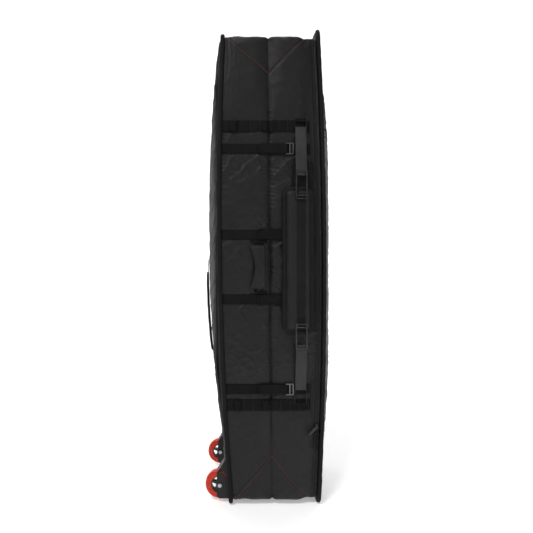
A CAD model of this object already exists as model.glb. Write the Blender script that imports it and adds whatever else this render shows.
"""Looks of the wheeled snowboard bag: cloth, webbing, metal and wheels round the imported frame.

Metres, in the frame's own axes: +Z up the bag, -X the wheeled back panel, +X the lid,
-Y the side with the shoulder strap.
"""
import math
import random
import bmesh
import bpy
import numpy as np
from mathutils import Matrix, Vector
from mathutils.bvhtree import BVHTree


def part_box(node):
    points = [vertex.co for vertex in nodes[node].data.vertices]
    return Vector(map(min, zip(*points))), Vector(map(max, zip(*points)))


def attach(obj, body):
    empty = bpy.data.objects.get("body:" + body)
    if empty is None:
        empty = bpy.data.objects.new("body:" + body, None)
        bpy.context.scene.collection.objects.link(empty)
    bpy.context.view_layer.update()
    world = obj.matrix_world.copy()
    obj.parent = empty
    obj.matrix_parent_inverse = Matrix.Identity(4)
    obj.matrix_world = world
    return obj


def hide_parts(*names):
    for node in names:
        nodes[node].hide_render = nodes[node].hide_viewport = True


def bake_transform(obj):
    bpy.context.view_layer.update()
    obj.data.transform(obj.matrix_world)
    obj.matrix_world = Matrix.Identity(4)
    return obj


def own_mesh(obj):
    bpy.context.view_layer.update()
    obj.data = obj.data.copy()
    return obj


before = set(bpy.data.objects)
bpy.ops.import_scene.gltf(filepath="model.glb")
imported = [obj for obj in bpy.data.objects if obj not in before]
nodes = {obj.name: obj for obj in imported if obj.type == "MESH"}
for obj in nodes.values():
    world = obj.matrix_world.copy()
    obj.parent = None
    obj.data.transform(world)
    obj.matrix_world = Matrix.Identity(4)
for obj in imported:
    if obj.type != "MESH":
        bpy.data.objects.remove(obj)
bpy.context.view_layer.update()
scene = bpy.context.scene

# ---- View, light and floor ---------------------------------------------------------------
# A white paper sweep under and behind the bag, broad window light from the upper left and
# two soft boxes.  The camera is square to the strap side at the height of the bag's middle.
camera = bpy.data.objects.new("camera", bpy.data.cameras.new("camera"))
camera.location = (-0.166, -1.78, 0.828)
camera.rotation_euler = (math.pi / 2, 0, 0)
camera.data.lens = 31.14
camera.data.shift_x = 0.0797
scene.collection.objects.link(camera)
scene.camera = camera
scene.view_settings.view_transform = "Standard"


def linear(hex_colour):
    """sRGB hex to a linear colour with alpha 1."""
    parts = [int(hex_colour[i:i + 2], 16) / 255 for i in (1, 3, 5)]
    return tuple(c / 12.92 if c <= 0.04045 else ((c + 0.055) / 1.055) ** 2.4 for c in parts) + (1,)


def shader(tree, kind, inputs=None, **settings):
    """Adds one node, with its settings and its values or links."""
    node = tree.nodes.new(kind)
    for name, value in settings.items():
        setattr(node, name, value)
    for name, value in (inputs or {}).items():
        if isinstance(value, bpy.types.NodeSocket):
            tree.links.new(value, node.inputs[name])
        else:
            node.inputs[name].default_value = value
    return node


def new_finish(name, **values):
    """An empty material, its node tree and its main shader with plain values set."""
    finish = bpy.data.materials.new(name)
    finish.use_nodes = True
    surface = finish.node_tree.nodes["Principled BSDF"]
    for socket, value in values.items():
        surface.inputs[socket.replace("_", " ")].default_value = value
    return finish, finish.node_tree, surface


def new_mesh(name, points, faces, finish, smooth=True):
    mesh = bpy.data.meshes.new(name)
    mesh.from_pydata(np.asarray(points, float).tolist(), [], faces)
    mesh.polygons.foreach_set("use_smooth", [smooth] * len(mesh.polygons))
    mesh.materials.append(finish)
    piece = bpy.data.objects.new(name, mesh)
    scene.collection.objects.link(piece)
    return piece


# Matt cartridge paper: white, with a faint mottle.
paper, tree, surface = new_finish("seamless_paper", Roughness=0.9, Emission_Strength=0.34,
                                  Emission_Color=linear("#ffffff"))
mottle = shader(tree, "ShaderNodeTexNoise", {"Scale": 40.0, "Detail": 3.0})
tint = shader(tree, "ShaderNodeMix", {"Factor": mottle.outputs["Fac"], "A": linear("#f6f6f6"),
                                      "B": linear("#fbfbfb")}, data_type="RGBA")
tree.links.new(tint.outputs["Result"], surface.inputs["Base Color"])
sweep = [(-6.0, 0.0), (1.6, 0.0)]
sweep += [(1.6 + 1.2 * math.sin(a * math.pi / 16), 1.2 - 1.2 * math.cos(a * math.pi / 16))
          for a in range(1, 9)] + [(2.8, 6.0)]
new_mesh("paper_sweep", [(x, y, z) for y, z in sweep for x in (-8, 8)],
                  [(2 * i, 2 * i + 1, 2 * i + 3, 2 * i + 2) for i in range(len(sweep) - 1)],
                  paper)

world = bpy.data.worlds.new("studio")
world.use_nodes = True
world.node_tree.nodes["Background"].inputs["Color"].default_value = linear("#ffffff")
world.node_tree.nodes["Background"].inputs["Strength"].default_value = 0.22
scene.world = world
for name, kind, place, size, power in (
        ("window_light", "SUN", (-1.1, -1.5, 3.4), 0.30, 1.65),
        ("front_box", "AREA", (1.6, -3.0, 2.0), 1.6, 12),
        ("paper_box", "AREA", (0.4, 1.2, 3.8), 2.4, 30)):
    lamp = bpy.data.objects.new(name, bpy.data.lights.new(name, kind))
    if kind == "SUN":
        lamp.data.angle = size
    else:
        lamp.data.size = size
    lamp.data.energy = power
    lamp.location = place
    lamp.rotation_euler = (Vector((0, 0, 0.85)) - lamp.location).to_track_quat("-Z", "Y").to_euler()
    scene.collection.objects.link(lamp)

# ---- Side and end walls ------------------------------------------------------------------
# Black woven polyester over thin foam, sewn from a back half and a front half that meet in
# a sunken centre seam and run on round the corners to both ends.  Stuffed, so it puffs
# between the straps that cross it and puckers along every seam.
wall_plane = 0.180
wall_top, wall_bottom = 1.628, 0.017
zip_set_in = 0.0065                     # the walls step in this far to meet the zip
zip_tape = 0.031
back_curve = np.polyfit((0, 0.880, 1.639), (-0.149, -0.190, -0.178), 2)
lid_curve = np.polyfit((0, 0.830, 1.660), (0.150, 0.170, 0.146), 2)
strap_heights = (1.236, 0.938, 0.714, 0.403)
band_heights = (1.314, 0.348)
pad_low, pad_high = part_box("shoulder_pad")
mesh_low, mesh_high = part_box("shoulder_pad_mesh")
housing_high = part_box("wheel_housings")[1]
wheel_half_gap = (0.1265, 0.1635)       # the opening for each wheel housing, across the bag
pocket_front, pocket_top = housing_high.x - 0.0295, housing_high.z + 0.001


def back_x(z):
    return np.polyval(back_curve, z)


def lid_x(z):
    return np.polyval(lid_curve, z)


def seam_x(z):
    return 0.002 - 0.015 * z / 1.660


def smooth_step(t):
    t = np.clip(t, 0, 1)
    return t * t * (3 - 2 * t)


def round_loop(half, low, high, radius, side=230, end=52, corner=4):
    """Rows of y, z and outward normal round the bag, from the bottom of the near side."""
    corners = ((radius - half, low + radius), (radius - half, high - radius),
               (half - radius, high - radius), (half - radius, low + radius))
    rows = []
    for k in range(4):
        turn = math.pi - k * math.pi / 2
        count = end if k % 2 else side
        (y0, z0), (y1, z1) = corners[k], corners[(k + 1) % 4]
        for i in range(count):
            rows.append((y0 + (y1 - y0) * i / count, z0 + (z1 - z0) * i / count, turn))
        rows += [(y1, z1, turn - math.pi / 2 * i / corner) for i in range(corner)]
    centre = np.array(rows)
    normal = np.stack([np.cos(centre[:, 2]), np.sin(centre[:, 2])], axis=1)
    return np.hstack([centre[:, :2] + radius * normal, normal])


def grid_faces(rows, columns, round_rows=False, round_columns=False):
    last_row, last_column = (rows if round_rows else rows - 1,
                             columns if round_columns else columns - 1)
    return [(r * columns + c, r * columns + (c + 1) % columns,
             (r + 1) % rows * columns + (c + 1) % columns, (r + 1) % rows * columns + c)
            for r in range(last_row) for c in range(last_column)]


def wave(a, b, seed, size):
    """Smooth repeatable ripples from -1 to 1, a few sine waves added up."""
    pick = random.Random(seed)
    total = 0
    for _ in range(7):
        angle, k = pick.uniform(0, math.pi), 2 * math.pi / (size * pick.uniform(0.6, 1.7))
        total = total + np.sin(k * (a * math.cos(angle) + b * math.sin(angle))
                               + pick.uniform(0, 6.28))
    return total / 4


def creases(a, b, seed, size, sharp=3.0):
    """Thin raised folds that wander, from 0 to 1."""
    bend = wave(a, b, seed + 50, size * 2.2) * size * 0.2
    return (1 - np.minimum(1, np.abs(wave(a + bend, b + bend, seed, size)))) ** sharp


def set_points(piece, points):
    piece.data.vertices.foreach_set("co", np.asarray(points, np.float32).ravel())
    piece.data.update()


def subdivide(piece, levels=1):
    modifier = piece.modifiers.new("smooth", "SUBSURF")
    modifier.levels = modifier.render_levels = levels


def refine(piece):
    """Applies one subdivision; returns the finer points and their normals."""
    subdivide(piece)
    finer = bpy.data.meshes.new_from_object(
        piece.evaluated_get(bpy.context.evaluated_depsgraph_get()))
    piece.modifiers.clear()
    piece.data = finer
    return (np.array([v.co for v in finer.vertices]), np.array([v.normal for v in finer.vertices]))


def stuff(piece, pinned, slack, growth, pressure, frames=20):
    """Cloth simulation: the sheet swells from its pinned rows and its slack wrinkles."""
    pins = piece.vertex_groups.new(name="pins")
    pins.add(np.nonzero(pinned)[0].tolist(), 1.0, "REPLACE")
    loose = piece.vertex_groups.new(name="slack")
    for step in range(11):
        loose.add(np.nonzero(np.round(slack * 10) == step)[0].tolist(), step / 10, "REPLACE")
    cloth = piece.modifiers.new("cloth", "CLOTH")
    settings = cloth.settings
    settings.quality = 4
    settings.mass = 0.25
    settings.tension_stiffness = settings.compression_stiffness = 40
    settings.shear_stiffness = 8
    settings.bending_stiffness = 0.15
    settings.vertex_group_mass = "pins"
    settings.use_pressure = True
    settings.uniform_pressure_force = pressure
    settings.vertex_group_shrink = "slack"
    settings.shrink_min, settings.shrink_max = 0.0, -growth
    settings.effector_weights.gravity = 0
    cloth.collision_settings.use_collision = False
    cloth.point_cache.frame_start, cloth.point_cache.frame_end = 1, frames
    for step in range(1, frames + 1):
        scene.frame_set(step)
    shaped = piece.evaluated_get(bpy.context.evaluated_depsgraph_get()).to_mesh()
    found = np.array([v.co for v in shaped.vertices])
    piece.modifiers.clear()
    piece.vertex_groups.clear()
    scene.frame_set(1)
    return found


def woven(name, colour, worn, pitch, relief=0.3, cloud=14.0, **values):
    """Woven cloth: crossed threads raise the surface and handling pales it in patches.  pitch
    is the size of a thread across and up, in metres, drawn coarser than a real 0.4 mm yarn,
    which is too fine to show."""
    finish, tree, surface = new_finish(name, **values)
    place = shader(tree, "ShaderNodeTexCoord").outputs["Object"]
    axes = shader(tree, "ShaderNodeSeparateXYZ", {0: place})
    across = shader(tree, "ShaderNodeMath", {0: axes.outputs["X"], 1: axes.outputs["Y"]},
                    operation="ADD")
    lines = []
    for source, size in ((across.outputs[0], pitch[0]), (axes.outputs["Z"], pitch[1])):
        scaled = shader(tree, "ShaderNodeMath", {0: source, 1: 2 * math.pi / size},
                        operation="MULTIPLY")
        lines.append(shader(tree, "ShaderNodeMath", {0: scaled.outputs[0]}, operation="SINE"))
    weave = shader(tree, "ShaderNodeMath", {0: lines[0].outputs[0], 1: lines[1].outputs[0]},
                   operation="MULTIPLY")
    patches = shader(tree, "ShaderNodeTexNoise", {"Vector": place, "Scale": cloud,
                                                  "Detail": 5.0, "Roughness": 0.6})
    fibre = shader(tree, "ShaderNodeTexNoise", {"Vector": place, "Scale": 0.8 / min(pitch),
                                                "Detail": 2.0})
    amount = shader(tree, "ShaderNodeMapRange", {"Value": patches.outputs["Fac"],
                                                 "From Min": 0.35, "From Max": 0.7})
    tint = shader(tree, "ShaderNodeMix", {"Factor": amount.outputs["Result"],
                                          "A": linear(colour), "B": linear(worn)},
                  data_type="RGBA")
    speck = shader(tree, "ShaderNodeMapRange", {"Value": fibre.outputs["Fac"],
                                                "From Min": 0.25, "From Max": 0.75,
                                                "To Min": 0.8, "To Max": 1.2})
    shade = shader(tree, "ShaderNodeVectorMath", {0: tint.outputs["Result"],
                                                  1: speck.outputs["Result"]},
                   operation="MULTIPLY")
    tree.links.new(shade.outputs[0], surface.inputs["Base Color"])
    height = shader(tree, "ShaderNodeMath", {0: weave.outputs[0], 1: fibre.outputs["Fac"]},
                    operation="ADD")
    bump = shader(tree, "ShaderNodeBump", {"Height": height.outputs[0], "Strength": relief,
                                           "Distance": min(pitch) * 0.25})
    tree.links.new(bump.outputs["Normal"], surface.inputs["Normal"])
    return finish


# Coated polyester: nearly black, with the soft broad gloss of its face coating on each fold.
wall_cloth = woven("black_polyester_oxford", "#0b0b0c", "#111112", (0.0016, 0.0016),
                   Roughness=0.46, Specular_IOR_Level=0.32)
wall_columns = 24                       # from seam to edge, before one subdivision
bag_loop = round_loop(wall_plane, wall_bottom, wall_top, 0.009)


def set_in(x, z):
    """How far the front wall has stepped in towards the zip."""
    return zip_set_in * smooth_step((x - lid_x(z) + 2 * zip_tape) / zip_tape)


def from_rows(z, centres):
    return np.min([np.abs(z - c) for c in centres], axis=0)


def sew_wall(name, left, right, seam_on_right, seed):
    """One half of the wall, a strip that goes all the way round."""
    columns, rows = wall_columns, len(bag_loop)
    y, z, normal_y, normal_z = (np.repeat(bag_loop[:, i], columns) for i in range(4))
    u = np.tile(np.linspace(0, 1, columns), rows)
    x = left(z) + (right(z) - left(z)) * u
    width = right(z) - left(z)
    to_seam = (1 - u if seam_on_right else u) * width
    to_edge = (u if seam_on_right else 1 - u) * width
    side = np.abs(normal_y) > 0.9
    near_band = from_rows(z, band_heights)
    near_strap = from_rows(z, strap_heights)
    crossed = side & ((near_strap < 0.018) | (near_band < 0.017))
    base = 0 if seam_on_right else -set_in(x, z)
    sink = base - 0.005 * np.exp(-(to_seam / 0.0045) ** 2)
    calm = np.where(side, smooth_step((np.minimum(near_strap, near_band) - 0.012) / 0.05), 0.5)
    puff = np.sin(np.pi * u) ** 0.6 * (0.0035 * calm + 0.0012 * wave(x, z + 3 * y, seed, 0.05))
    pinned = (u < 0.001) | (u > 0.999) | crossed | (to_seam < 0.004)
    out = sink + np.where(pinned, 0, puff)
    points = np.stack([x, y + normal_y * out, z + normal_z * out], axis=1)
    piece = new_mesh(name, points, grid_faces(rows, columns, round_rows=True), wall_cloth)
    ends = (z > band_heights[0]) | (z < band_heights[1]) | ~side
    moved = stuff(piece, pinned, np.where(ends, 0.3, 1.0), 0.05, 2.4) - points
    flat = np.stack([np.zeros_like(y), normal_y, normal_z], axis=1)
    swell = (moved * flat).sum(axis=1)
    over_pad = ((z > pad_low.z - 0.02) & (z < mesh_high.z + 0.02) & (x > 0.02) & (y < 0))
    cap = np.where(over_pad, 0.0050, 0.0070) - np.where(pinned, 0, puff) - base
    kept = np.clip(swell, -0.005, np.maximum(cap, 0))
    points = points + moved + flat * (kept - swell)[:, None]
    set_points(piece, points)
    points, normal = refine(piece)
    x, y, z = points.T
    # Puckers where a sewn line gathers the cloth, and the folds that cross the puffed panels.
    side = np.abs(y) > wall_plane - 0.014
    to_seam = np.abs(x - seam_x(z))
    to_edge = np.abs(x - (left(z) if seam_on_right else right(z)))
    near_band, near_strap = from_rows(z, band_heights), from_rows(z, strap_heights)
    crossed = side & ((near_strap < 0.0195) | (near_band < 0.019))
    along = np.where(side, z, y)
    gathered = np.minimum(to_seam, to_edge)
    uneven = np.clip(0.6 + 0.7 * wave(x, along, seed + 4, 0.11), 0, 1.6)
    pucker = (np.exp(-gathered / 0.020) * uneven
              * np.sin(2 * np.pi * (along + 0.25 * gathered) / 0.0145
                       + 4 * wave(x * 0.3, along, seed + 1, 0.07))
              + 0.8 * np.exp(-np.maximum(near_strap - 0.016, 0) / 0.014) * side * uneven
              * np.sin(2 * np.pi * x / 0.017 + 3 * wave(x, z, seed + 2, 0.05)))
    fold = (creases(0.35 * x + 0.25 * along, along - 0.5 * x, seed + 3, 0.075, 5.0)
            + 0.7 * creases(0.3 * x - 0.2 * along, along + 0.9 * x, seed + 5, 0.060, 6.0))
    ends = (z > band_heights[0]) | (z < band_heights[1]) | ~side
    busy = np.where(ends, 0.25, 1.0) * np.where(crossed, 0.0, 1.0)
    relief = busy * (0.0019 * pucker + 0.0028 * fold * np.clip(gathered / 0.015, 0, 1)
                     * np.clip(0.7 + 0.8 * wave(x, along, seed + 6, 0.16), 0, 1.3))
    # Nested folds stand beside the bound edge at both ends.
    if seam_on_right:
        beside = np.clip(np.minimum(np.abs(z - wall_top), np.abs(z - wall_bottom)) / 0.30, 0, 1)
        relief += (0.0016 * side * (1 - beside) * np.exp(-to_edge / 0.030)
                   * np.sin(2 * np.pi * to_edge / 0.014 + 2 * wave(x, z, seed + 7, 0.2)))
    # The pleat seams that make a V at both ends of each side sink a little.
    for apex, end in ((1.497, wall_top), (0.170, wall_bottom)):
        climb = np.clip((z - apex) / (end - apex), 0, 1)
        line = seam_x(apex) + (-0.155 if seam_on_right else 0.130) * climb
        relief -= side * (climb > 0) * 0.0025 * np.exp(-((x - line) / 0.004) ** 2)
    # Nothing lifts on the seam itself, where both halves have to meet.
    relief *= smooth_step(to_seam / 0.003)
    set_points(piece, points + normal * relief[:, None])
    return piece


wall_back = sew_wall("side_wall_back_half", lambda z: back_x(z) + 0.005, seam_x, True, 3)
wall_front = sew_wall("side_wall_front_half", seam_x, lambda z: lid_x(z) - 0.004, False, 8)


def drop_faces(piece, unwanted):
    """Cuts out the faces whose centre passes the test."""
    cut = bmesh.new()
    cut.from_mesh(piece.data)
    gone = [f for f in cut.faces if unwanted(f.calc_center_median())]
    bmesh.ops.delete(cut, geom=gone, context="FACES")
    cut.to_mesh(piece.data)
    cut.free()


def in_wheel_pocket(c):
    return (c.x < pocket_front and c.z < pocket_top
            and wheel_half_gap[0] < abs(c.y) < wheel_half_gap[1])


drop_faces(wall_back, in_wheel_pocket)
# The squeeze pulls square to the centre seam, which leans back a little as it rises, and
# leaves the halves about 0.15 mm apart there when the bag is fully compressed.
for piece, body, half in ((wall_back, "base", "back"), (wall_front, "front_frame", "front")):
    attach(piece, body)
    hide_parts(*[f"gusset_{wall}_{half}" for wall in ("near", "far", "top", "bottom")])
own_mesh(wall_front)

# ---- Back panel --------------------------------------------------------------------------
# A crowned panel of grey coated polyester over foam and a stiff board, sewn in all round and
# cut away at the bottom corners for the wheels.  The coating catches the light on its ripples.
coated_cloth = woven("grey_pvc_backed_polyester", "#242526", "#303133", (0.0020, 0.0020),
                     Roughness=0.55, Specular_IOR_Level=0.18)
# Plain taffeta, duller and a little lighter, with no coating on this side of the bag.
lining_cloth = woven("charcoal_taffeta_lining", "#26272a", "#303135", (0.0014, 0.0014),
                     Roughness=0.75, Sheen_Weight=0.1)


def shell_of(name):
    """A ray caster for one of the frame's nodes."""
    mesh = nodes[name].data
    return BVHTree.FromPolygons([v.co for v in mesh.vertices], [p.vertices for p in mesh.polygons])


def crowned_panel(name, node, side, half, low, high, finish, lines_z, shape, flat,
                  stuffing=True):
    """A sheet lying on a crowned node, outer face out, pinned at its rim and quilt lines.
    flat(z) is where it lies beyond the node's edge."""
    z = np.unique(np.round(np.append(np.linspace(low, high, 210), pocket_top), 5))
    y = np.unique(np.round(np.append(np.linspace(-half, half, 47),
                                     [s * g for s in (-1, 1) for g in wheel_half_gap]), 5))
    surface = shell_of(node)
    grid_z, grid_y = (g.ravel() for g in np.meshgrid(z, y, indexing="ij"))
    x = []
    for a, b in zip(grid_y, grid_z):
        a = max(-half + 0.008, min(half - 0.008, a))
        b = max(low + 0.008, min(high - 0.008, b))
        hit = surface.ray_cast(Vector((side, a, b)), Vector((-side, 0, 0)))[0]
        x.append(hit.x if hit and abs(hit.x) > 0.1 else float(flat(b)))
    rim = np.minimum(half - np.abs(grid_y), np.minimum(grid_z - low, high - grid_z))
    edge = back_x(grid_z) + 0.008 if node == "back_panel_skin" else (
        lid_x(grid_z) + 0.014 if node == "lid_skin" else np.array(x))
    x = edge + (np.array(x) - edge) * smooth_step(rim / 0.018) ** 0.5
    from_line = from_rows(grid_z, lines_z) if len(lines_z) else np.full(len(x), 1.0)
    pinned = (rim < 0.002) | (from_line < 0.002)
    x = x - side * 0.0025 * np.exp(-(from_line / 0.012) ** 2)
    points = np.stack([x, grid_y, grid_z], axis=1)
    faces = grid_faces(len(z), len(y))
    if side > 0:
        faces = [tuple(reversed(f)) for f in faces]
    piece = new_mesh(name, points, faces, finish)
    if stuffing:
        moved = stuff(piece, pinned, np.full(len(x), 1.0), 0.02, 1.8) - points
        moved[:, 0] = side * np.clip(side * moved[:, 0], -0.003, 0.007)
        points = points + moved
    set_points(piece, points)
    points, _ = refine(piece)
    rim = np.minimum(half - np.abs(points[:, 1]),
                     np.minimum(points[:, 2] - low, high - points[:, 2]))
    from_line = from_rows(points[:, 2], lines_z) if len(lines_z) else np.full(len(points), 1.0)
    points[:, 0] += side * shape(points[:, 1], points[:, 2], rim, from_line)
    set_points(piece, points)
    return piece


def back_ripples(y, z, rim, from_line):
    """Diagonal folds that run down from the corners, and puckers along the bound edge."""
    inside = np.clip(rim / 0.03, 0, 1)
    return (0.0030 * creases(y + 0.8 * z, 0.6 * z, 21, 0.11) * inside
            + 0.0009 * np.exp(-rim / 0.016) * np.sin(2 * np.pi * (y + z) / 0.016
                                                     + 3 * wave(y, z, 22, 0.07)))


back_panel = crowned_panel("back_panel", "back_panel_skin", -1, 0.1795, wall_bottom, wall_top,
                           coated_cloth, (), back_ripples, lambda z: back_x(z) - 0.006)
drop_faces(back_panel, in_wheel_pocket)
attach(back_panel, "base")

back_lining = crowned_panel("board_lining", "base_board", 1, 0.166, wall_bottom + 0.014,
                            wall_top - 0.014, lining_cloth, (), lambda y, z, rim, line:
                            0.001 * wave(y, z, 25, 0.12), lambda z: back_x(z) + 0.004,
                            stuffing=False)
drop_faces(back_lining, in_wheel_pocket)
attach(back_lining, "base")
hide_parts("back_panel_skin", "back_panel_foam")
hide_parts("base_board")

# ---- Lid ---------------------------------------------------------------------------------
# The lid is the same black polyester quilted to foam in broad channels, which scallop its
# edge, with a taffeta lining inside.
quilt_lines = np.arange(0.145, 1.60, 0.118)


def lid_quilting(y, z, rim, from_line):
    """Short gathers that leave each quilt line, and a few folds across the channels."""
    inside = np.clip(rim / 0.03, 0, 1)
    return (0.0008 * np.exp(-from_line / 0.012) * inside
            * np.sin(2 * np.pi * y / 0.014 + 3 * wave(y, z, 31, 0.06))
            + 0.0018 * creases(y, 1.4 * z, 32, 0.09) * inside)


lid_half, lid_low, lid_high = 0.172, 0.0235, 1.6215
lid_panel = crowned_panel("lid_panel", "lid_skin", 1, lid_half, lid_low, lid_high, wall_cloth,
                          quilt_lines, lid_quilting, lambda z: lid_x(z) + 0.010)
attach(lid_panel, "lid")
lid_lining = crowned_panel("lid_lining", "lid_foam", -1, lid_half - 0.006, lid_low + 0.006,
                           lid_high - 0.006, lining_cloth, (), lambda y, z, rim, line:
                           0.001 * wave(y, z, 35, 0.12), lambda z: lid_x(z) + 0.006,
                           stuffing=False)
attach(lid_lining, "lid")
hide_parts("lid_skin")
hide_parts("lid_foam")

# ---- Bound edges -------------------------------------------------------------------------
# Folded grosgrain tape is sewn over the raw edges where each panel meets the walls, and
# stands up as a firm flange all round.
# Grosgrain: a dull black tape, with fine ribs across it.
binding_tape = woven("black_grosgrain_binding", "#080808", "#0f0f0f", (0.0030, 0.0030),
                     Roughness=0.65, Specular_IOR_Level=0.2)


def swept(line, loop, profile, closed=True, stand=None, ring=False):
    """A profile of (along X, outward) carried round the bag on the line x(z)."""
    rows = []
    for y, z, ny, nz in loop:
        scale = stand(ny, nz) if stand else 1.0
        x = float(line(z))
        rows += [(x + dx, y + ny * out * scale, z + nz * out * scale) for dx, out in profile]
    return rows, grid_faces(len(loop), len(profile), round_rows=closed, round_columns=ring)


def flange(name, line, half, low, high, reach_top, reach_bottom, width, seed):
    """The bound edge, a rounded bar that stands off the panel's rim."""
    loop = round_loop(half, low, high, 0.012, side=260, end=60)
    reach_side = 0.188 - half
    profile = [(width * a, b) for a, b in ((0.10, -0.2), (0.02, 0.35), (0.05, 0.82),
                                           (0.28, 1.0), (0.55, 0.99), (0.78, 0.97),
                                           (0.95, 0.80), (0.99, 0.35), (0.90, -0.2))]
    points, faces = swept(line, loop, profile, ring=True, stand=lambda ny, nz:
                          reach_side * ny * ny + (reach_top if nz > 0 else reach_bottom) * nz * nz)
    points = np.array(points)
    points[:, 0] += 0.0008 * wave(points[:, 1], points[:, 2], seed, 0.05)
    piece = new_mesh(name, points, faces, binding_tape)
    return piece


back_flange = flange("back_bound_edge", back_x, wall_plane, wall_bottom, wall_top,
                     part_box("back_binding")[1].z - wall_top, wall_bottom, 0.016, 41)
drop_faces(back_flange, in_wheel_pocket)
subdivide(back_flange)
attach(back_flange, "base")
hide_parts("back_binding")
lid_back = 0.0043
lid_flange = flange("lid_bound_edge", lambda z: lid_x(z) + lid_back, lid_half, lid_low, lid_high,
                    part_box("lid_binding")[1].z - lid_high, lid_low, 0.016, 42)
subdivide(lid_flange)
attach(lid_flange, "lid")
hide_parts("lid_binding")

# ---- Zip ---------------------------------------------------------------------------------
# A coarse nylon coil on woven tape runs up the near side and across both ends.  A ribbed
# facing strip covers the tape's sewn edge, and the far side is a plain sewn hinge strip.
# Woven polyester tape: flat black with ribs along it.
tape_cloth = woven("ribbed_zip_tape", "#090909", "#101010", (0.0040, 0.0040), Roughness=0.65,
                   Specular_IOR_Level=0.2)
facing_cloth = woven("zip_facing_webbing", "#0e0e0f", "#161617", (0.0030, 0.0030),
                     Roughness=0.55, Specular_IOR_Level=0.25)
# Nylon monofilament coil: smooth black plastic in 2.2 mm turns, close to a real number 10.
coil_nylon, tree, surface = new_finish("nylon_zip_coil", Roughness=0.3, IOR=1.53)
place = shader(tree, "ShaderNodeTexCoord").outputs["Object"]
turns = shader(tree, "ShaderNodeTexWave", {"Vector": place, "Scale": 2 * math.pi / 0.0022 / 20,
                                           "Distortion": 0.0}, bands_direction="DIAGONAL")
tint = shader(tree, "ShaderNodeMix", {"Factor": turns.outputs["Fac"], "A": linear("#090909"),
                                      "B": linear("#1f1f1f")}, data_type="RGBA")
bump = shader(tree, "ShaderNodeBump", {"Height": turns.outputs["Fac"], "Strength": 0.8,
                                       "Distance": 0.0008})
tree.links.new(tint.outputs["Result"], surface.inputs["Base Color"])
tree.links.new(bump.outputs["Normal"], surface.inputs["Normal"])

zip_plane = wall_plane - zip_set_in
zip_loop = round_loop(zip_plane, wall_bottom + zip_set_in, wall_top - zip_set_in, 0.012,
                      side=260, end=60)
far_side = [i for i, row in enumerate(zip_loop) if row[2] > 0.99]
zip_run = np.vstack([zip_loop[far_side[-1] + 1:], zip_loop[:far_side[0]]])
lower_profile = [(-zip_tape, 0.0), (-zip_tape + 0.001, 0.0024), (-0.024, 0.0030),
                 (-0.0225, 0.0018), (-0.021, 0.0034), (-0.014, 0.0036), (-0.0125, 0.0018),
                 (-0.011, 0.0020), (-0.004, 0.0018), (-0.0005, 0.0014), (-0.0005, 0.0)]
upper_profile = [(0.0005, 0.0), (0.0005, 0.0014), (0.003, 0.0018), (0.0045, 0.0014)]
for name, profile, body, node, finish in (
        ("zip_tape_and_facing", lower_profile, "front_frame", "zip_tape_lower", facing_cloth),
        ("zip_tape_on_lid", upper_profile, "lid", "zip_tape_upper", tape_cloth)):
    points, faces = swept(lid_x, zip_run, profile, closed=False)
    piece = new_mesh(name, points, faces, finish)
    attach(piece, body)
    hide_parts(node)
for name, start, body, node in (("zip_coil_on_wall", -0.0030, "front_frame", "zip_coil_lower"),
                                ("zip_coil_on_lid", 0.0003, "lid", "zip_coil_upper")):
    profile = [(start + 0.00135 + 0.00135 * math.cos(a), 0.0026 + 0.0014 * math.sin(a))
               for a in np.linspace(-0.5, math.pi + 0.5, 8)]
    points, faces = swept(lid_x, zip_run, profile, closed=False)
    piece = new_mesh(name, points, faces, coil_nylon)
    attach(piece, body)
    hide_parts(node)

hinge_run = zip_loop[far_side[0]:far_side[-1] + 1]
points, faces = swept(lid_x, hinge_run, [(-zip_tape, 0.0), (-zip_tape + 0.001, 0.0016),
                                         (-0.016, 0.0022), (-0.004, 0.0018), (0.0006, 0.0016),
                                         (0.006, 0.0014)], closed=False)
hinge_strip = new_mesh("lid_hinge_strip_cloth", points, faces, facing_cloth)
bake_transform(hinge_strip)
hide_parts("lid_hinge_strip")

# ---- Straps and bands on the side walls ----------------------------------------------------
# Nylon webbing: two daisy-chain bands right round each side with raised belt loops, and four
# compression straps that cross the centre seam, pass a ladderlock and double back.
# Nylon webbing: black and a little glossy, in a coarse rib that shows along its length.
webbing = woven("black_nylon_webbing", "#050505", "#0b0b0b", (0.0036, 0.0022), relief=0.5,
                Roughness=0.6, Specular_IOR_Level=0.14)


def smooth_path(controls, step=0.004):
    """A Catmull-Rom line through the control points."""
    c = np.array(controls, float)
    c = np.vstack([2 * c[0] - c[1], c, 2 * c[-1] - c[-2]])
    found = []
    for i in range(1, len(c) - 2):
        count = max(2, int(np.linalg.norm(c[i + 1] - c[i]) / step))
        t = (np.arange(count) / count)[:, None]
        found.append(0.5 * (2 * c[i] + (c[i + 1] - c[i - 1]) * t
                            + (2 * c[i - 1] - 5 * c[i] + 4 * c[i + 1] - c[i + 2]) * t ** 2
                            + (3 * c[i] - c[i - 1] - 3 * c[i + 1] + c[i + 2]) * t ** 3))
    return np.vstack(found + [c[-2:-1]])


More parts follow.
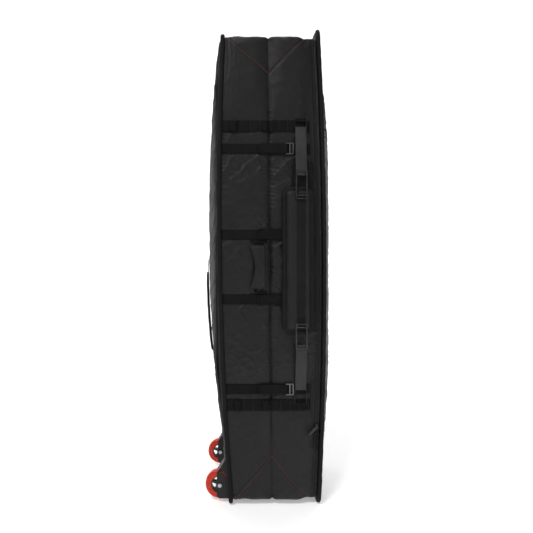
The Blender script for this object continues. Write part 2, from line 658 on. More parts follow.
def ribbon(controls, across, half, thick, smooth=True, step=0.004):
    """Flat webbing along a path; across is its width direction."""
    path = smooth_path(controls, step) if smooth else np.array(controls, float)
    across = np.array(across, float) / np.linalg.norm(across)
    run = np.gradient(path, axis=0)
    out = np.cross(run, across)
    out /= np.linalg.norm(out, axis=1)[:, None]
    edge = min(0.0015, half * 0.2)
    outline = [(-half, 0.2), (-half + edge, 0.5), (-half * 0.5, 0.42), (0, 0.5),
               (half * 0.5, 0.42), (half - edge, 0.5), (half, 0.2), (half, -0.2),
               (half - edge, -0.5), (-half + edge, -0.5), (-half, -0.2)]
    points = [p + across * a + o * b * thick for p, o in zip(path, out) for a, b in outline]
    n, last = len(outline), len(path) - 1
    faces = grid_faces(len(path), n, round_columns=True)
    faces += [tuple(range(n))[::-1], tuple(last * n + i for i in range(n))]
    return points, faces


def joined(parts, both_sides=False):
    """Several point-and-face lists as one, with a copy on the far side if asked."""
    points, faces = [], []
    for part_points, part_faces in parts:
        start = len(points)
        points += [tuple(p) for p in part_points]
        faces += [tuple(start + i for i in f) for f in part_faces]
    if both_sides:
        count = len(points)
        points += [(x, -y, z) for x, y, z in points]
        faces += [tuple(count + i for i in reversed(f)) for f in faces]
    return points, faces


def wall_level(x, z):
    return wall_plane - set_in(x, z)


def band_strip(left, right, z_mid, half, thick, cell):
    """A band flat on the near wall, lifted a little between its bar tacks."""
    xs = np.linspace(left, right, max(3, int((right - left) / 0.004)))
    lift = 0.0012 * np.abs(np.sin(np.pi * (xs - seam_x(z_mid)) / cell)) ** 0.6
    path = [(x, -wall_level(x, z_mid) - thick / 2 - 0.0004 - h, z_mid) for x, h in zip(xs, lift)]
    return ribbon(path, (0, 0, 1), half, thick, smooth=False)


def tack(x, z, half, level, thick=0.0010):
    """A bar tack: a close satin bar of thread across a strap."""
    y = -level - thick / 2
    return ribbon([(x - 0.0011, y, z), (x, y - 0.0003, z), (x + 0.0011, y, z)], (0, 0, 1),
                  half, thick, smooth=False)


band_cell = 0.032
# Bonded polyester thread, satin black.
thread = woven("black_bonded_thread", "#090909", "#121212", (0.0012, 0.0012), Roughness=0.5,
               Specular_IOR_Level=0.3)
for half_name, body, node in (("back", "base", "daisy_chain_bands_back"),
                              ("front", "front_frame", "daisy_chain_bands_front")):
    strips, tacks = [], []
    for z in band_heights:
        left, right = ((back_x(z) + 0.0145, seam_x(z)) if half_name == "back"
                       else (seam_x(z), lid_x(z) - zip_tape))
        strips.append(band_strip(left, right, z, 0.020, 0.0020, band_cell))
        count = int((right - left) / band_cell)
        for k in range(1, count + 1):
            x = seam_x(z) + (-k if half_name == "back" else k) * band_cell
            tacks.append(tack(x, z, 0.0185, wall_level(x, z) + 0.0024))
    bands = new_mesh(f"daisy_chain_{half_name}", *joined(strips, True), webbing)
    bar_tacks = new_mesh(f"bar_tacks_{half_name}", *joined(tacks, True), thread)
    for piece in (bands, bar_tacks):
        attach(piece, body)
        if body == "front_frame":
            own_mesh(piece)
    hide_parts(node)

loop_places = ((-0.133, 0.032, 0), (-0.024, 0.026, 0), (-0.118, 0.030, 1), (-0.020, 0.030, 1))
loops = []
for x, width, row in loop_places:
    z, w = band_heights[row], width / 2
    level = -wall_plane - 0.0030
    loops.append(ribbon([(x - w, level, z), (x - w + 0.003, level - 0.0004, z),
                         (x - w + 0.005, level - 0.0040, z), (x - w + 0.009, level - 0.0052, z),
                         (x + w - 0.009, level - 0.0052, z), (x + w - 0.005, level - 0.0040, z),
                         (x + w - 0.003, level - 0.0004, z), (x + w, level, z)],
                        (0, 0, 1), 0.0175, 0.0016, step=0.002))
belt_loops = new_mesh("raised_belt_loops", *joined(loops, True), webbing)
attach(belt_loops, "base")
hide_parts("belt_loops")

strap_level, strap_end = wall_plane + 0.0012, 0.050
buckle_out = -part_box("ladderlocks")[0].y    # outer face of the ladderlocks
strap_half_wide, strap_thick = 0.0175, 0.0015
tail_half_wide = 0.0165                     # the folded tail is a little narrower
strap_parts, tail_parts, anchor_parts, anchor_tacks = [], [], [], []
for k, z in enumerate(strap_heights):
    start = back_x(z) + 0.0145
    strap_parts.append(ribbon([(start, -strap_level, z), (-0.05, -strap_level, z),
                               (0.02, -strap_level, z), (0.042, -strap_level, z),
                               (strap_end, -strap_level, z)], (0, 0, 1), strap_half_wide,
                              strap_thick))
    tip = 0.0015 * (k % 2)
    tail_parts.append(ribbon([(-0.050, -strap_level - 0.0026 - tip, z),
                              (-0.046, -strap_level - 0.0042 - tip, z),
                              (-0.020, -strap_level - 0.0054 - tip, z + 0.0008),
                              (0.015, -strap_level - 0.0062, z + 0.0006),
                              (0.040, -buckle_out - 0.0006, z),
                              (0.0505, -buckle_out - 0.0014, z),
                              (0.0565, -buckle_out + 0.0030, z)], (0, 0, 1), tail_half_wide,
                             strap_thick))
    tail_parts.append(tack(-0.043, z, tail_half_wide, strap_level + 0.0054 + tip))
    anchor_parts.append(ribbon([(0.0735, -buckle_out + 0.0032, z), (0.080, -buckle_out + 0.0026, z),
                                (0.100, -buckle_out + 0.0036, z), (0.118, -0.1815, z),
                                (0.126, -0.1770, z), (0.131, -0.1757, z)], (0, 0, 1), 0.0172,
                               0.0015))
    anchor_tacks += [tack(0.128, z, 0.016, 0.1762), tack(0.083, z, 0.016, 0.1850)]
for name, parts, node, body in (
        ("compression_webbing", strap_parts, "compression_straps", "base"),
        ("strap_tail_webbing", tail_parts, "strap_tails", "front_frame"),
        ("buckle_anchor_webbing", anchor_parts, "buckle_anchor_webs", "front_frame")):
    piece = new_mesh(name, *joined(parts, True), webbing)
    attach(piece, body)
    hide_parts(node)
anchor_stitching = new_mesh("anchor_stitching", *joined(anchor_tacks, True), thread)
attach(anchor_stitching, "front_frame")

# Nickel-plated zinc ladderlocks: bright, faintly pitted castings with softened edges.
nickel, tree, surface = new_finish("nickel_plated_zinc", Metallic=1.0, Roughness=0.3)
place = shader(tree, "ShaderNodeTexCoord").outputs["Object"]
pits = shader(tree, "ShaderNodeTexNoise", {"Vector": place, "Scale": 420.0, "Detail": 3.0})
wear = shader(tree, "ShaderNodeTexNoise", {"Vector": place, "Scale": 60.0, "Detail": 4.0})
tint = shader(tree, "ShaderNodeMix", {"Factor": wear.outputs["Fac"], "A": linear("#4b4c4e"),
                                      "B": linear("#77797b")}, data_type="RGBA")
rough = shader(tree, "ShaderNodeMapRange", {"Value": wear.outputs["Fac"], "To Min": 0.2,
                                            "To Max": 0.42})
bump = shader(tree, "ShaderNodeBump", {"Height": pits.outputs["Fac"], "Strength": 0.15,
                                       "Distance": 0.0004})
tree.links.new(tint.outputs["Result"], surface.inputs["Base Color"])
tree.links.new(rough.outputs["Result"], surface.inputs["Roughness"])
tree.links.new(bump.outputs["Normal"], surface.inputs["Normal"])


def dress(finish, width, *names, segments=2):
    """Gives hard parts of the frame their finish and rounds their edges."""
    for name in names:
        nodes[name].data.materials.clear()
        nodes[name].data.materials.append(finish)
        if width:
            bevel = nodes[name].modifiers.new("softened_edges", "BEVEL")
            bevel.width, bevel.segments = width, segments
            bevel.limit_method, bevel.angle_limit = "ANGLE", math.radians(40)
            bevel.harden_normals = True


dress(nickel, 0.0009, "ladderlocks")

# ---- Pleat stitching ---------------------------------------------------------------------
# The pleats at both ends of each side are topstitched in dull red thread, four lines a side
# that meet in a V on the centre seam.
red_thread = woven("dull_red_thread", "#64231d", "#752d26", (0.0020, 0.0020), Roughness=0.6)
bpy.context.view_layer.update()
graph = bpy.context.evaluated_depsgraph_get()
wall_shells = {"base": BVHTree.FromObject(wall_back, graph),
               "front_frame": BVHTree.FromObject(wall_front, graph)}


def on_wall(body, side, x, z, above=0.0004):
    """The point on the finished wall at x, z, on the near (-1) or far (1) side."""
    hit = wall_shells[body].ray_cast(Vector((x, side * 0.3, z)), Vector((0, -side, 0)))[0]
    y = hit.y if hit and abs(hit.y) > 0.1 else side * wall_level(x, z)
    return (x, y + side * above, z)


def dashes(path, half, dash=0.0070, gap=0.0012, across=(0, 1, 0)):
    """Raised stitches along a path, with a small gap between one and the next."""
    path = np.array(path)
    steps = np.linalg.norm(np.diff(path, axis=0), axis=1)
    run = np.concatenate([[0], np.cumsum(steps)])
    parts, s = [], 0.0
    while s + dash < run[-1]:
        ends = [np.array([np.interp(t, run, path[:, i]) for i in range(3)])
                for t in (s, s + dash / 2, s + dash)]
        along = ends[2] - ends[0]
        width = np.cross(along / np.linalg.norm(along), across)
        parts.append(ribbon(ends, width, half, 1.6 * half, smooth=False))
        s += dash + gap
    return parts


for body, ends in (("base", ((1.497, 1.626, -0.155), (0.170, 0.019, -0.130))),
                   ("front_frame", ((1.497, 1.620, 0.130), (0.170, 0.025, 0.127)))):
    lines = []
    for side in (-1, 1):
        for apex, end, reach in ends:
            t = np.linspace(0.01, 1, 40)
            bow = 0.006 * np.sin(np.pi * t) * (body == "front_frame")
            lines += dashes([on_wall(body, side, seam_x(apex) + reach * a - b, apex
                                     + (end - apex) * a) for a, b in zip(t, bow)], 0.0006)
    pleats = new_mesh(f"pleat_stitching_{body}", *joined(lines), red_thread)
    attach(pleats, body)
    if body == "front_frame":
        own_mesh(pleats)

# ---- Grab handles ------------------------------------------------------------------------
# Webbing sewn down at both ends and wrapped in a padded sleeve, gathered towards its ends:
# one on each side wall, one across the top and a long one down the back panel.
# The sleeve is the wall's own polyester over foam, with a softer, duller hand.
sleeve_cloth = woven("padded_handle_polyester", "#0b0b0c", "#131314", (0.0018, 0.0018),
                     Roughness=0.5, Specular_IOR_Level=0.3)


def arch(s, length, rise):
    return rise * (1 - (2 * s / length) ** 2)


def padded_half(end, length, rise, place, width, thick, inset, centre):
    """Half a padded sleeve, from the middle towards one end (+1 or -1) along the handle."""
    rows, ring = 26, 28
    stations = np.linspace(0, length / 2 - inset, rows)
    points = []
    for i, s in enumerate(stations):
        t = s / (length / 2 - inset)
        shut = (1 - smooth_step((t - 0.88) / 0.12) * 0.55)
        left, right = width(t)
        for a in np.linspace(0, 2 * math.pi, ring, endpoint=False):
            c, d = math.cos(a), math.sin(a)
            u = math.copysign(abs(c) ** 0.75, c)
            across = centre + (left + right) / 2 + (right - left) / 2 * u
            groove = 1.0 - 0.45 * math.exp(-((u - 0.45) / 0.10) ** 2) * (d > 0)
            swell = 1 + 0.10 * math.sin(s / 0.011 + 2 * u) * (d > 0) * min(1, (1 - u * u) * 2)
            out = arch(s, length, rise) + thick * (0.5 + 0.5 * math.copysign(
                abs(d) ** 0.8, d) * shut * groove * swell)
            points.append(place(end * s, across, out))
    faces = grid_faces(rows, ring, round_columns=True)
    last = (rows - 1) * ring
    return points, faces + [tuple(range(last, last + ring))]


def near_place(side, middle):
    return lambda s, across, out: (across, side * (wall_plane + out), middle + s)


rear_low, rear_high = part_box("rear_haul_handle_webbing")
crown = shell_of("rear_haul_handle_webbing")
top_low, top_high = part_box("top_haul_handle_webbing")
near_low, near_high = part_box("near_grab_handle_webbing")
near_mid, near_length = (near_low.z + near_high.z) / 2, near_high.z - near_low.z
rear_mid, rear_length = (rear_low.z + rear_high.z) / 2, rear_high.z - rear_low.z
top_length = top_high.y - top_low.y


def rear_place(s, across, out):
    hit = crown.ray_cast(Vector((-0.4, 0, max(rear_low.z + 0.002, min(rear_high.z - 0.002,
                                                                     rear_mid + s)))),
                         Vector((1, 0, 0)))[0]
    return (hit.x + 0.0015 - out, across, rear_mid + s)


def top_place(s, across, out):
    return (across, s, wall_top + out)


def side_width(t):
    """Left and right edges of the side handles' sleeve, wide at the ends."""
    return -0.013 - 0.019 * t ** 1.6, 0.024


def even_width(t):
    return -0.023, 0.023


handles = (
    ("near_grab_handle", near_place(-1, near_mid), near_length, -0.047, 0.0105, 0.0110,
     0.006, side_width),
    ("far_grab_handle", near_place(1, near_mid), near_length, -0.047, 0.0105, 0.0110,
     0.006, side_width),
    ("top_haul_handle", top_place, top_length, (top_low.x + top_high.x) / 2, 0.0105, 0.0100,
     0.018, even_width),
    ("rear_haul_handle", rear_place, rear_length, 0.0, 0.0030, 0.0095, 0.040, even_width))
for name, place, length, centre, rise, thick, inset, width in handles:
    body = name.replace("_grab", "").replace("_haul", "")
    sleeve_node, web_node = f"{name}_sleeve", f"{name}_webbing"
    for end, label in ((-1, "lower"), (1, "upper")):
        anchor = Vector(place(end * length / 2, centre, 0.001))
        middle = Vector(place(0, centre, 0.001))
        sleeve = new_mesh(f"{name}_sleeve_{label}",
                          *padded_half(end, length, rise, place, width, thick, inset, centre),
                          sleeve_cloth)
        stations = np.linspace(0, length / 2 + 0.006, 24)
        path = [place(end * s, centre, max(0.0006, arch(min(s, length / 2), length, rise)
                                           + 0.0012)) for s in stations]
        across = (Vector(place(0, 1, 0)) - Vector(place(0, 0, 0))).normalized()
        web = new_mesh(f"{name}_webbing_{label}",
                       *ribbon(path, tuple(across), 0.0195, 0.0018, smooth=False), webbing)
        for piece, slot in ((sleeve, "handle_padding"), (web, "webbing")):
            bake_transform(piece)
            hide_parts(sleeve_node if piece is sleeve else web_node)
        subdivide(sleeve)

# Sewn patches hold the ends down: a folded tab of webbing crossed by two bar tacks.
patches, tacks = [], []
for end in (-1, 1):
    z = near_mid + end * (near_length / 2 + 0.0065)
    patches.append(ribbon([(-0.077, -wall_plane - 0.0016, z), (-0.060, -wall_plane - 0.0024, z),
                           (-0.034, -wall_plane - 0.0024, z), (-0.017, -wall_plane - 0.0016, z)],
                          (0, 0, 1), 0.0060, 0.0026))
patches = [joined(patches, True)]
for end in (-1, 1):
    y = end * (top_length / 2 + 0.0065)
    x = (top_low.x + top_high.x) / 2
    patches.append(ribbon([(x - 0.022, y, wall_top + 0.0016), (x, y, wall_top + 0.0026),
                           (x + 0.022, y, wall_top + 0.0016)], (0, 1, 0), 0.0060, 0.0026))
    z = rear_mid + end * (rear_length / 2 - 0.010)
    here = rear_place(z - rear_mid, 0, 0.0035)
    tacks.append(ribbon([(here[0], -0.017, z - end * 0.004), (here[0] - 0.0004, 0, z
                                                             - end * 0.004),
                         (here[0], 0.017, z - end * 0.004)], (0, 0, 1), 0.0016, 0.0012))
handle_patches = new_mesh("handle_anchor_patches", *joined(patches), webbing)
rear_tacks = new_mesh("rear_handle_bar_tacks", *joined(tacks), thread)
for piece in (handle_patches, rear_tacks):
    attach(piece, "base")
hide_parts("handle_anchors")

# ---- Shoulder strap ----------------------------------------------------------------------
# Grey webbing hangs from a ring at each end, on loops sewn to the bands, and is shortened by
# a steel adjuster at each end of a padded shoulder rest with a ribbed mesh back.

# Grey nylon webbing: lighter than the rest, tightly woven and a little silky.
grey_webbing = woven("slate_grey_webbing", "#28282a", "#343436", (0.0030, 0.0022), relief=0.5,
                     Roughness=0.5, Specular_IOR_Level=0.3)
ring_low, ring_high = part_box("shoulder_strap_rings")
web_low, web_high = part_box("shoulder_strap_webbing")
adjust_low, adjust_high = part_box("strap_adjusters")
strap_x = (web_low.x + web_high.x) / 2
strap_half = (web_high.x - web_low.x) / 2
rest_plane = -pad_low.y                      # outer face of the pad
adjust_out = -adjust_low.y
ring_bottom, ring_top_of_low = 1.309, 0.403
web_ends = (1.140, 0.560)
for label, start, end, way in (("upper", ring_bottom, web_ends[0], 1),
                               ("lower", ring_top_of_low, web_ends[1], -1)):
    level, far = 0.1878, -web_low.y - 0.0012
    controls = [(strap_x, -level - 0.0010, start + way * 0.0005),
                (strap_x, -level - 0.0022, start - way * 0.006),
                (strap_x, -level - 0.0030, start - way * 0.030),
                (strap_x, -(level + far) / 2 - 0.001, (start + end) / 2),
                (strap_x, -far + 0.0004, end + way * 0.030), (strap_x, -far, end)]
    grey = new_mesh(f"shoulder_webbing_{label}", *ribbon(controls, (1, 0, 0), strap_half - 0.0008,
                                                         0.0020), grey_webbing)
    under = [(x, y + 0.0026, z) for x, y, z in controls[1:4]]
    fold = ribbon(under, (1, 0, 0), strap_half - 0.0016, 0.0016)
    folds = new_mesh(f"shoulder_webbing_fold_{label}", *joined([
        fold, tack(strap_x, controls[3][2] + way * 0.004, 0.0006, -controls[3][1] + 0.0002)]),
        grey_webbing)
    for piece in (grey, folds):
        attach(piece, "front_frame")
    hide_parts("shoulder_strap_webbing")

# Black-nickel plate: darker and a little warmer than the ladderlocks.
dark_nickel, tree, surface = new_finish("black_nickel_plate", Metallic=1.0, Roughness=0.3)
place = shader(tree, "ShaderNodeTexCoord").outputs["Object"]
wear = shader(tree, "ShaderNodeTexNoise", {"Vector": place, "Scale": 80.0, "Detail": 4.0})
tint = shader(tree, "ShaderNodeMix", {"Factor": wear.outputs["Fac"], "A": linear("#2c2c2e"),
                                      "B": linear("#59595b")}, data_type="RGBA")
rough = shader(tree, "ShaderNodeMapRange", {"Value": wear.outputs["Fac"], "To Min": 0.2,
                                            "To Max": 0.42})
tree.links.new(tint.outputs["Result"], surface.inputs["Base Color"])
tree.links.new(rough.outputs["Result"], surface.inputs["Roughness"])
dress(dark_nickel, 0.0009, "strap_adjusters")
# Black-painted steel rings, a little glossy.
painted_steel = woven("black_painted_steel", "#0a0a0b", "#151516", (0.0020, 0.0020), relief=0.1,
                      Roughness=0.4, Specular_IOR_Level=0.25)
dress(painted_steel, 0.0009, "shoulder_strap_rings")

loops = []
for z, way in ((ring_high.z - 0.0015, 1), (ring_low.z + 0.0015, -1)):
    outer, inner = -ring_low.y + 0.0012, -ring_high.y - 0.0012
    loops.append(ribbon([(strap_x, -0.1772, z + way * 0.016), (strap_x, -0.1800, z + way * 0.010),
                         (strap_x, -outer + 0.0006, z + way * 0.0036),
                         (strap_x, -outer - 0.0002, z),
                         (strap_x, -outer + 0.0014, z - way * 0.0032),
                         (strap_x, -(outer + inner) / 2, z - way * 0.0040),
                         (strap_x, -inner + 0.0002, z - way * 0.0026),
                         (strap_x, -inner + 0.0006, z + way * 0.0030),
                         (strap_x, -0.1768, z + way * 0.012)], (1, 0, 0), 0.0155, 0.0014,
                        step=0.0015))
ring_webs = new_mesh("ring_webbing_loops", *joined(loops), webbing)
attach(ring_webs, "front_frame")
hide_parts("ring_loops")


def cushion(name, x_range, z_range, radius, back, levels, finish, wobble=0.0, seed=0):
    """A padded shape facing -Y: rings from its edge inwards at (inset, height) levels."""
    centre = (x_range[0] + x_range[1]) / 2
    half = (x_range[1] - x_range[0]) / 2
    rows, count = [], 0
    for inset, height in levels:
        inset = min(inset, half - 0.0004)
        loop = round_loop(half - inset, z_range[0] + inset, z_range[1] - inset,
                          max(radius - inset, 0.0002), side=90, end=18, corner=10)
        count = len(loop)
        lift = height + wobble * wave(loop[:, 0], loop[:, 1], seed, 0.05) * (height > 0.002)
        rows += [(centre + a, -back - b, z) for a, z, b in zip(loop[:, 0], loop[:, 1], lift)]
    faces = grid_faces(len(levels), count, round_columns=True)
    # Both caps are rows of four-sided faces from one long side across to the other.
    partner = [(218 - i) % count for i in range(count)]
    last = (len(levels) - 1) * count
    for i in list(range(109)) + list(range(218, 237)):
        j = (i + 1) % count
        across = [i, j] + [k for k in (partner[j], partner[i]) if k not in (i, j)]
        faces.append(tuple(last + k for k in across))
        faces.append(tuple(reversed(across)))
    return new_mesh(name, rows, faces, finish)


# Spacer mesh: springy knitted polyester, ribbed on the slant every 6 mm.
spacer_mesh, tree, surface = new_finish("ribbed_spacer_mesh", Roughness=0.8,
                                       Specular_IOR_Level=0.2)
place = shader(tree, "ShaderNodeTexCoord").outputs["Object"]
axes = shader(tree, "ShaderNodeSeparateXYZ", {0: place})
slant = shader(tree, "ShaderNodeMath", {0: axes.outputs["X"], 1: axes.outputs["Z"]},
               operation="ADD")
scaled = shader(tree, "ShaderNodeMath", {0: slant.outputs[0], 1: 2 * math.pi / 0.0060},
                operation="MULTIPLY")
ribs = shader(tree, "ShaderNodeMath", {0: scaled.outputs[0]}, operation="SINE")
holes = shader(tree, "ShaderNodeTexVoronoi", {"Vector": place, "Scale": 420.0})
tint = shader(tree, "ShaderNodeMix", {"Factor": ribs.outputs[0], "A": linear("#070707"),
                                      "B": linear("#1c1c1e")}, data_type="RGBA")
height = shader(tree, "ShaderNodeMath", {0: ribs.outputs[0], 1: holes.outputs["Distance"]},
                operation="ADD")
bump = shader(tree, "ShaderNodeBump", {"Height": height.outputs[0], "Strength": 0.6,
                                       "Distance": 0.0012})
tree.links.new(tint.outputs["Result"], surface.inputs["Base Color"])
tree.links.new(bump.outputs["Normal"], surface.inputs["Normal"])
pad_cloth = woven("shoulder_pad_polyester", "#0e0e0f", "#161617", (0.0018, 0.0018),
                  Roughness=0.5, Specular_IOR_Level=0.3)
pad_border = woven("shoulder_pad_edge_tape", "#080808", "#0f0f0f", (0.0024, 0.0024),
                   Roughness=0.6, Specular_IOR_Level=0.2)

mesh_back = cushion("shoulder_pad_mesh_panel", (mesh_low.x, mesh_high.x), (mesh_low.z, mesh_high.z),
                    0.012, -mesh_high.y, [(0, 0), (0.0002, 0.0012), (0.002, 0.0020),
                                          (0.010, 0.0021), (0.030, 0.0021), (0.04, 0.0021)],
                    spacer_mesh)
pad = cushion("shoulder_pad_body", (pad_low.x, pad_high.x), (pad_low.z, pad_high.z), 0.032,
              -pad_high.y,
              [(0.002, 0), (0, 0.0020), (0.0004, 0.0042), (0.003, 0.0066), (0.007, 0.0078),
               (0.012, 0.0074), (0.0150, 0.0056), (0.0162, 0.0046), (0.0175, 0.0058),
               (0.022, 0.0094), (0.028, 0.0104), (0.036, 0.0108), (0.046, 0.0104),
               (0.0555, 0.0100)], pad_cloth, wobble=0.0007, seed=61)
pad.data.materials.append(pad_border)
for face in pad.data.polygons:
    c = face.center
    if min(c.x - pad_low.x, pad_high.x - c.x, c.z - pad_low.z, pad_high.z - c.z) < 0.0160:
        face.material_index = 1
subdivide(pad)
bpy.context.view_layer.update()
pad_shell = BVHTree.FromObject(pad, bpy.context.evaluated_depsgraph_get())


def on_pad(x, z, above):
    hit = pad_shell.ray_cast(Vector((x, -0.3, z)), Vector((0, 1, 0)))[0]
    return (x, hit.y - above, z)


band_low, band_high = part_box("shoulder_pad_centre_band")
centre_band = ribbon([on_pad(strap_x, z, 0.0012) for z in np.linspace(band_low.z, band_high.z, 70)],
                     (1, 0, 0), 0.0132, 0.0016, smooth=False)
pad_centre_band = new_mesh("shoulder_pad_band", *centre_band, pad_border)
seams = []
for x in (strap_x - 0.0165, strap_x + 0.0165, pad_low.x + 0.0205, pad_high.x - 0.0205):
    seams += dashes([on_pad(x, z, 0.0001) for z in np.linspace(pad_low.z + 0.030,
                                                              pad_high.z - 0.030, 80)], 0.0006)
pad_seams = new_mesh("shoulder_pad_topstitching", *joined(seams), thread)
short_webs = []
for low, high in ((adjust_high.z - 0.097, adjust_high.z), (adjust_low.z, adjust_low.z + 0.087)):
    inner, way = (low, 1) if low > 0.8 else (high, -1)
    short_webs.append(ribbon([(strap_x, -rest_plane - 0.0014, inner - way * 0.020),
                              (strap_x, -rest_plane - 0.0026, inner - way * 0.004),
                              (strap_x, -adjust_out + 0.0006, inner + way * 0.003),
                              (strap_x, -adjust_out - 0.0006, inner + way * 0.006),
                              (strap_x, -adjust_out + 0.0022, inner + way * 0.0085),
                              (strap_x, -rest_plane - 0.0012, inner + way * 0.004),
                              (strap_x, -rest_plane - 0.0008, inner - way * 0.012)],
                             (1, 0, 0), 0.0125, 0.0012, step=0.002))
adjuster_loops = new_mesh("adjuster_webbing_loops", *joined(short_webs), webbing)
for piece, slot in ((mesh_back, "pad_mesh"), (pad, "handle_padding"), (pad_centre_band, "webbing"),
                    (pad_seams, "webbing"), (adjuster_loops, "webbing")):
    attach(piece, "pad")
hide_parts("shoulder_pad_mesh")
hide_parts("shoulder_pad")
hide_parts("shoulder_pad_centre_band")

# ---- Zip sliders and pulls ---------------------------------------------------------------
# Die-cast sliders with a bridge on top; each carries a tab of narrow webbing, folded over
# the bridge and sewn.
gunmetal, tree, surface = new_finish("gunmetal_zinc_slider", Metallic=1.0, Roughness=0.35)
place = shader(tree, "ShaderNodeTexCoord").outputs["Object"]
wear = shader(tree, "ShaderNodeTexNoise", {"Vector": place, "Scale": 300.0, "Detail": 3.0})
tint = shader(tree, "ShaderNodeMix", {"Factor": wear.outputs["Fac"], "A": linear("#2b2c2f"),
                                      "B": linear("#55575b")}, data_type="RGBA")
tree.links.new(tint.outputs["Result"], surface.inputs["Base Color"])
for label, way, width, length, twist, finish in (
        ("upper", (-0.7071, -0.7071), 0.0100, 0.040, 0.0, grey_webbing),
        ("lower", (0.0, -1.0), 0.0070, 0.058, 1.1, webbing)):
    low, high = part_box(f"zip_slider_{label}")
    mid_x, mid_z = (low.x + high.x) / 2, (low.z + high.z) / 2
    foot, out = -high.y, -low.y
    points, rows = [], []
    for level, grow in ((foot, 0.80), (foot + 0.0008, 1.0), (foot + 0.0030, 1.0),
                        (foot + 0.0042, 0.82)):
        for dx, dz in ((-0.0030, -0.0072), (0.0030, -0.0072), (0.0052, -0.0035),
                       (0.0052, 0.0025), (0.0020, 0.0074), (-0.0020, 0.0074),
                       (-0.0052, 0.0025), (-0.0052, -0.0035)):
            points.append((mid_x + dx * grow, -level, mid_z + dz * grow))
    faces = grid_faces(4, 8, round_columns=True) + [tuple(range(8))[::-1], tuple(range(24, 32))]
    along = np.array((way[0], 0, way[1]))
    side = np.array((-way[1], 0, way[0]))
    centre = np.array((mid_x, 0, mid_z))
    pin = [centre + side * d + np.array((0, -level, 0)) for d, level in (
        (-0.0068, foot + 0.0030), (-0.0066, out - 0.0022), (-0.0050, out - 0.0012),
        (0.0, out - 0.0010), (0.0050, out - 0.0012), (0.0066, out - 0.0022),
        (0.0068, foot + 0.0030))]
    bridge = ribbon([tuple(p) for p in pin], tuple(along), 0.0012, 0.0016, step=0.001)
    slider = new_mesh(f"zip_slider_{label}_body", *joined([(points, faces), bridge]), gunmetal)
    subdivide(slider)
    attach(slider, f"slider_{label}")
    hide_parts(f"zip_slider_{label}")
    level = out - 0.0008
    layers = []
    for lift in (-0.0009, 0.0009):
        path = []
        for t in np.linspace(0, 1, 14):
            p = centre + along * (0.0022 + t * (length - 0.003)) + np.array((0, -level, 0))
            p[1] += lift * (1 - 0.3 * t) * -1 - 0.0016 * math.sin(math.pi * t)
            p += side * 0.0016 * math.sin(2.2 * math.pi * t) * (twist > 0)
            path.append(tuple(p))
        layers.append(ribbon(path, tuple(side), width / 2 - 0.0006, 0.0013, smooth=False))
    wrap = [centre + along * a + np.array((0, -level - b, 0)) for a, b in (
        (0.003, 0.0016), (-0.0006, 0.0020), (-0.0024, 0.0), (-0.0006, -0.0020),
        (0.003, -0.0016))]
    layers.append(ribbon([tuple(p) for p in wrap], tuple(side), width / 2 - 0.0006, 0.0011,
                         step=0.001))
    for t in (0.35, 0.92):
        p = centre + along * length * t + np.array((0, -level - 0.0022, 0))
        layers.append(ribbon([tuple(p - along * 0.0008), tuple(p), tuple(p + along * 0.0008)],
                             tuple(side), width / 2 - 0.0012, 0.0010, smooth=False))
    pull = new_mesh(f"zip_pull_{label}_tab", *joined(layers), finish)
    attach(pull, f"pull_{label}")
    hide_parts(f"zip_pull_{label}")

# ---- Lid strap loop ----------------------------------------------------------------------
# A short loop of webbing sewn to the front of the lid's bound edge, for a lash strap.
tab_low, tab_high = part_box("lid_strap_loop")
tab_z, tab_y = (tab_low.z + tab_high.z) / 2, (tab_low.y + tab_high.y) / 2
face_x = tab_low.x
loop = ribbon([(face_x - 0.001, tab_y, tab_z - 0.0145), (face_x + 0.0022, tab_y, tab_z - 0.0130),
               (face_x + 0.0054, tab_y, tab_z - 0.0080), (face_x + 0.0062, tab_y, tab_z),
               (face_x + 0.0054, tab_y, tab_z + 0.0080), (face_x + 0.0022, tab_y, tab_z + 0.0130),
               (face_x - 0.001, tab_y, tab_z + 0.0145)], (0, 1, 0),
              (tab_high.y - tab_low.y) / 2 - 0.0004, 0.0016, step=0.002)
lash_loop = new_mesh("lid_lash_loop", *loop, webbing)
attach(lash_loop, "lid")
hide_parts("lid_strap_loop")

# ---- Wheels and housings -----------------------------------------------------------------
# Cast polyurethane tyres on moulded nylon hubs with sealed bearings, each on a bolt through a
# moulded housing that closes the bag's bottom corner and is riveted to the end wall.
# Cast polyurethane: clear red, glossy, deeper where it is thick.
urethane, tree, surface = new_finish("cast_red_polyurethane", Roughness=0.3, IOR=1.5,
                                     Specular_IOR_Level=0.35,
                                     Subsurface_Weight=0.25, Subsurface_Scale=0.005,
                                     Subsurface_Radius=(1.0, 0.25, 0.12))
place = shader(tree, "ShaderNodeTexCoord").outputs["Object"]
scuffs = shader(tree, "ShaderNodeTexNoise", {"Vector": place, "Scale": 90.0, "Detail": 6.0,
                                             "Roughness": 0.7})
tint = shader(tree, "ShaderNodeMix", {"Factor": scuffs.outputs["Fac"], "A": linear("#b01c06"),
                                      "B": linear("#cc2f0d")}, data_type="RGBA")
rough = shader(tree, "ShaderNodeMapRange", {"Value": scuffs.outputs["Fac"], "From Min": 0.3,
                                            "From Max": 0.7, "To Min": 0.15, "To Max": 0.4})
bump = shader(tree, "ShaderNodeBump", {"Height": scuffs.outputs["Fac"], "Strength": 0.12,
                                       "Distance": 0.0006})
tree.links.new(tint.outputs["Result"], surface.inputs["Base Color"])
tree.links.new(rough.outputs["Result"], surface.inputs["Roughness"])
tree.links.new(bump.outputs["Normal"], surface.inputs["Normal"])


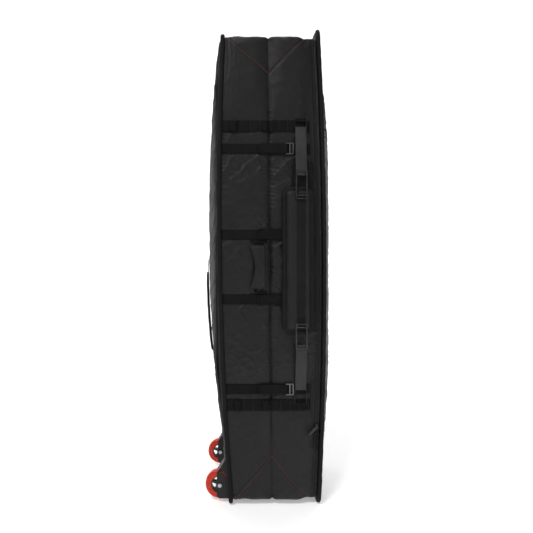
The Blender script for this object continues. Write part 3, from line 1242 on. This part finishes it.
def moulded(name, dark, light, grain, **values):
    """Moulded plastic with a fine spark-eroded grain; grain is its size in metres."""
    finish, tree, surface = new_finish(name, **values)
    place = shader(tree, "ShaderNodeTexCoord").outputs["Object"]
    grit = shader(tree, "ShaderNodeTexNoise", {"Vector": place, "Scale": 1 / grain,
                                               "Detail": 3.0})
    scuff = shader(tree, "ShaderNodeTexNoise", {"Vector": place, "Scale": 35.0, "Detail": 6.0})
    tint = shader(tree, "ShaderNodeMix", {"Factor": scuff.outputs["Fac"], "A": linear(dark),
                                          "B": linear(light)}, data_type="RGBA")
    bump = shader(tree, "ShaderNodeBump", {"Height": grit.outputs["Fac"], "Strength": 0.3,
                                           "Distance": 0.0004})
    tree.links.new(tint.outputs["Result"], surface.inputs["Base Color"])
    tree.links.new(bump.outputs["Normal"], surface.inputs["Normal"])
    return finish


# Glass-filled nylon: near black, with a low sheen and a fine grain.
hub_nylon = moulded("black_glass_filled_nylon", "#0c0c0d", "#191a1b", 0.0012, Roughness=0.42)
# Polypropylene: charcoal, matt from its eroded mould, paler on its scuffs.
housing_plastic = moulded("charcoal_polypropylene", "#151617", "#212224", 0.0014,
                          Roughness=0.5, Specular_IOR_Level=0.3)
# Zinc-plated steel: cool grey, brushed dull by handling.
zinc_steel, tree, surface = new_finish("zinc_plated_steel", Metallic=1.0, Roughness=0.32)
place = shader(tree, "ShaderNodeTexCoord").outputs["Object"]
spangle = shader(tree, "ShaderNodeTexNoise", {"Vector": place, "Scale": 250.0, "Detail": 4.0})
tint = shader(tree, "ShaderNodeMix", {"Factor": spangle.outputs["Fac"], "A": linear("#8f9296"),
                                      "B": linear("#c4c7ca")}, data_type="RGBA")
rough = shader(tree, "ShaderNodeMapRange", {"Value": spangle.outputs["Fac"], "To Min": 0.22,
                                            "To Max": 0.45})
tree.links.new(tint.outputs["Result"], surface.inputs["Base Color"])
tree.links.new(rough.outputs["Result"], surface.inputs["Roughness"])

for end in ("near", "far"):
    dress(urethane, 0, f"wheel_{end}_tyre")
    dress(hub_nylon, 0.0008, f"wheel_{end}_hub")
    dress(zinc_steel, 0.0004, f"wheel_{end}_bearings", f"wheel_{end}_spacer")
dress(housing_plastic, 0.0012, "wheel_housings")
dress(zinc_steel, 0.0006, "axle_bolts", "axle_nuts", "housing_rivets")
